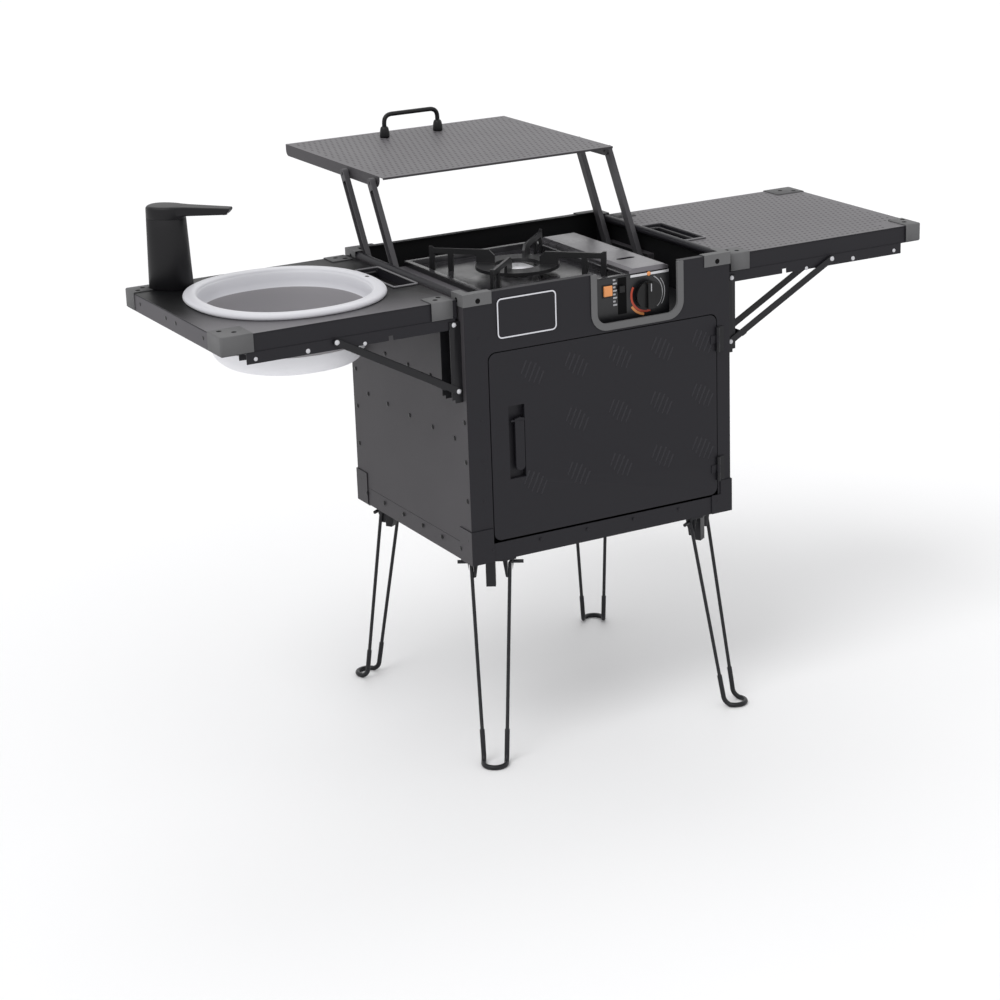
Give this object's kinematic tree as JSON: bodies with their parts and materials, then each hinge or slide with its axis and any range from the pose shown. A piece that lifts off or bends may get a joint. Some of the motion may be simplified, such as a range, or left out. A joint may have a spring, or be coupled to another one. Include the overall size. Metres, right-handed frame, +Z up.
{
  "type": "folding camping kitchen",
  "caption": "Folding camping kitchen: steel cabinet on hairpin legs, gas stove under a lid on lifting links, folding side shelves with wash basin and tap.",
  "frame": {"origin": "on the ground, under the middle of the outline of the whole kitchen as set up", "axes": "+X to the right along both shelves, -Y towards the user at the front, +Z up"},
  "size_m": [1.414, 0.8198, 1.0495],
  "materials": {
    "front_paint": "satin powder coat",
    "side_paint": "satin powder coat",
    "shelf_paint": "satin powder coat",
    "worktop_paint": "satin powder coat with pressed dots",
    "link_paint": "satin powder coat",
    "bracket_paint": "satin",
    "fitting_paint": "satin",
    "leg_paint": "satin",
    "leg_fitting": "matte",
    "cap_plastic": "matte",
    "badge_metal": "satin",
    "stove_enamel": "semi-gloss enamel",
    "bare_steel": "brushed",
    "loop_steel": "satin",
    "basin_white": "matte",
    "basin_grey": "matte",
    "tap_plastic": "satin",
    "knob_plastic": "satin"
  },
  "bodies": {
    "cabinet": {"base_tray": "front_paint", "back_panel": "front_paint", "front_fascia": "front_paint", "notch_trim": "cap_plastic", "badge_plate": "badge_metal", "stove_deck": "front_paint", "upper_hinge": "front_paint", "lower_hinge": "front_paint", "left_side_panel": "side_paint", "right_side_panel": "side_paint", "stove_body": "stove_enamel", "drip_pan": "bare_steel", "burner": "bare_steel", "pot_grate": "stove_enamel", "front_left_top_cap": "cap_plastic", "front_left_wall_channel": "bracket_paint", "front_left_leg_bracket": "leg_fitting", "front_right_top_cap": "cap_plastic", "front_right_wall_channel": "bracket_paint", "front_right_leg_bracket": "leg_fitting", "back_left_top_cap": "cap_plastic", "back_left_wall_channel": "bracket_paint", "back_left_leg_bracket": "leg_fitting", "back_right_top_cap": "cap_plastic", "back_right_wall_channel": "bracket_paint", "back_right_leg_bracket": "leg_fitting"},
    "door": {"door_panel": "front_paint"},
    "pull": {"door_pull": "fitting_paint"},
    "left_shelf": {"left_shelf_frame": "front_paint", "left_shelf_top": "shelf_paint", "basin_rim": "basin_white", "basin_wall": "basin_grey", "tap_column": "tap_plastic", "tap_head": "tap_plastic"},
    "right_shelf": {"right_shelf_frame": "front_paint", "right_shelf_top": "worktop_paint"},
    "basin_cup": {"basin_cup": "basin_white"},
    "front_left_link": {"front_left_lid_link": "link_paint"},
    "front_right_link": {"front_right_lid_link": "link_paint"},
    "back_left_link": {"back_left_lid_link": "link_paint"},
    "back_right_link": {"back_right_lid_link": "link_paint"},
    "lid": {"lid_panel": "worktop_paint", "lid_handle": "fitting_paint"},
    "front_left_brace": {"front_left_brace": "bracket_paint"},
    "front_left_lever": {"front_left_release_lever": "bracket_paint"},
    "back_left_brace": {"back_left_brace": "bracket_paint"},
    "back_left_lever": {"back_left_release_lever": "bracket_paint"},
    "left_loop": {"left_carry_loop": "loop_steel"},
    "front_right_brace": {"front_right_brace": "bracket_paint"},
    "front_right_lever": {"front_right_release_lever": "bracket_paint"},
    "back_right_brace": {"back_right_brace": "bracket_paint"},
    "back_right_lever": {"back_right_release_lever": "bracket_paint"},
    "right_loop": {"right_carry_loop": "loop_steel"},
    "front_left_leg": {"front_left_leg": "leg_paint"},
    "front_right_leg": {"front_right_leg": "leg_paint"},
    "back_left_leg": {"back_left_leg": "leg_paint"},
    "back_right_leg": {"back_right_leg": "leg_paint"},
    "knob": {"stove_knob": "knob_plastic"},
    "canister_lever": {"canister_lever": "knob_plastic"},
    "canister_cover": {"canister_cover": "bare_steel"}
  },
  "joints": [
    {"name": "front_left_link_turn", "type": "hinge", "parent": "cabinet", "child": "front_left_link", "pos_m": [-0.249, -0.08745, 0.79338], "axis": [-1, 0, 0], "range_deg": [-100, 0]},
    {"name": "front_right_link_turn", "type": "hinge", "parent": "cabinet", "child": "front_right_link", "pos_m": [0.249, -0.08745, 0.79338], "axis": [-1, 0, 0], "range_deg": [-100, 0]},
    {"name": "lid_lift", "type": "hinge", "parent": "cabinet", "child": "back_left_link", "pos_m": [-0.249, 0.02455, 0.79338], "axis": [-1, 0, 0], "range_deg": [-100, 0]},
    {"name": "back_right_link_turn", "type": "hinge", "parent": "cabinet", "child": "back_right_link", "pos_m": [0.249, 0.02455, 0.79338], "axis": [-1, 0, 0], "range_deg": [-100, 0]},
    {"name": "lid_turn", "type": "hinge", "parent": "back_left_link", "child": "lid", "pos_m": [-0.249, 0.13388, 0.989], "axis": [1, 0, 0], "range_deg": [-100, 0]},
    {"name": "left_shelf_fold", "type": "hinge", "parent": "cabinet", "child": "left_shelf", "pos_m": [-0.283, -0.12812, 0.8064], "axis": [0, -1, 0], "range_deg": [0, 90]},
    {"name": "front_left_brace_turn", "type": "hinge", "parent": "cabinet", "child": "front_left_brace", "pos_m": [-0.279, -0.32312, 0.689], "axis": [0, -1, 0], "range_deg": [0, 119]},
    {"name": "front_left_lever_press", "type": "hinge", "parent": "left_shelf", "child": "front_left_lever", "pos_m": [-0.554, -0.32312, 0.8034], "axis": [0, 1, 0], "range_deg": [0, 12]},
    {"name": "back_left_brace_turn", "type": "hinge", "parent": "cabinet", "child": "back_left_brace", "pos_m": [-0.279, 0.06688, 0.689], "axis": [0, -1, 0], "range_deg": [0, 119]},
    {"name": "back_left_lever_press", "type": "hinge", "parent": "left_shelf", "child": "back_left_lever", "pos_m": [-0.554, 0.06688, 0.8034], "axis": [0, 1, 0], "range_deg": [0, 12]},
    {"name": "left_loop_lift", "type": "hinge", "parent": "left_shelf", "child": "left_loop", "pos_m": [-0.285, -0.12212, 0.843], "axis": [0, 1, 0], "range_deg": [0, 95]},
    {"name": "right_shelf_fold", "type": "hinge", "parent": "cabinet", "child": "right_shelf", "pos_m": [0.283, -0.12812, 0.8064], "axis": [0, 1, 0], "range_deg": [0, 90]},
    {"name": "front_right_brace_turn", "type": "hinge", "parent": "cabinet", "child": "front_right_brace", "pos_m": [0.279, -0.32312, 0.689], "axis": [0, 1, 0], "range_deg": [0, 119]},
    {"name": "front_right_lever_press", "type": "hinge", "parent": "right_shelf", "child": "front_right_lever", "pos_m": [0.554, -0.32312, 0.8034], "axis": [0, -1, 0], "range_deg": [0, 12]},
    {"name": "back_right_brace_turn", "type": "hinge", "parent": "cabinet", "child": "back_right_brace", "pos_m": [0.279, 0.06688, 0.689], "axis": [0, 1, 0], "range_deg": [0, 119]},
    {"name": "back_right_lever_press", "type": "hinge", "parent": "right_shelf", "child": "back_right_lever", "pos_m": [0.554, 0.06688, 0.8034], "axis": [0, -1, 0], "range_deg": [0, 12]},
    {"name": "right_loop_lift", "type": "hinge", "parent": "right_shelf", "child": "right_loop", "pos_m": [0.285, -0.12212, 0.843], "axis": [0, -1, 0], "range_deg": [0, 95]},
    {"name": "basin_fold", "type": "slide", "parent": "left_shelf", "child": "basin_cup", "axis": [0, 0, 1], "range_m": [0, 0.06], "deforming": ["basin_wall"]},
    {"name": "door_swing", "type": "hinge", "parent": "cabinet", "child": "door", "pos_m": [0.242, -0.35912, 0.572], "axis": [0, 0, 1], "range_deg": [0, 110]},
    {"name": "pull_tilt", "type": "hinge", "parent": "door", "child": "pull", "pos_m": [-0.168, -0.35282, 0.621], "axis": [-1, 0, 0], "range_deg": [0, 30]},
    {"name": "front_left_leg_fold", "type": "hinge", "parent": "cabinet", "child": "front_left_leg", "pos_m": [-0.219, -0.32412, 0.3615], "axis": [0.8492, -0.5281, 0], "range_deg": [0, 100]},
    {"name": "front_right_leg_fold", "type": "hinge", "parent": "cabinet", "child": "front_right_leg", "pos_m": [0.219, -0.32412, 0.3615], "axis": [0.8492, 0.5281, 0], "range_deg": [0, 100]},
    {"name": "back_left_leg_fold", "type": "hinge", "parent": "cabinet", "child": "back_left_leg", "pos_m": [-0.219, 0.06788, 0.3615], "axis": [-0.8492, -0.5281, 0], "range_deg": [0, 96]},
    {"name": "back_right_leg_fold", "type": "hinge", "parent": "cabinet", "child": "back_right_leg", "pos_m": [0.219, 0.06788, 0.3615], "axis": [-0.8492, 0.5281, 0], "range_deg": [0, 96]},
    {"name": "knob_turn", "type": "hinge", "parent": "cabinet", "child": "knob", "pos_m": [0.108, -0.33812, 0.801], "axis": [0, -1, 0], "range_deg": [0, 90]},
    {"name": "lever_slide", "type": "slide", "parent": "cabinet", "child": "canister_lever", "axis": [0, 0, -1], "range_m": [0, 0.014]},
    {"name": "cover_open", "type": "hinge", "parent": "cabinet", "child": "canister_cover", "pos_m": [0.156, -0.17312, 0.84015], "axis": [0, 1, 0], "range_deg": [0, 95]}
  ],
  "couplings": [
    {"joint": "front_left_link_turn", "follows": "lid_lift", "ratio": 1},
    {"joint": "front_right_link_turn", "follows": "lid_lift", "ratio": 1},
    {"joint": "back_right_link_turn", "follows": "lid_lift", "ratio": 1},
    {"joint": "lid_turn", "follows": "lid_lift", "ratio": 1},
    {"joint": "front_left_brace_turn", "follows": "left_shelf_fold", "ratio": 1.3171},
    {"joint": "back_left_brace_turn", "follows": "left_shelf_fold", "ratio": 1.3171},
    {"joint": "front_right_brace_turn", "follows": "right_shelf_fold", "ratio": 1.3171},
    {"joint": "back_right_brace_turn", "follows": "right_shelf_fold", "ratio": 1.3171},
    {"joint": "basin_fold", "follows": "left_shelf_fold", "m_per_rad": 0.0381}
  ]
}
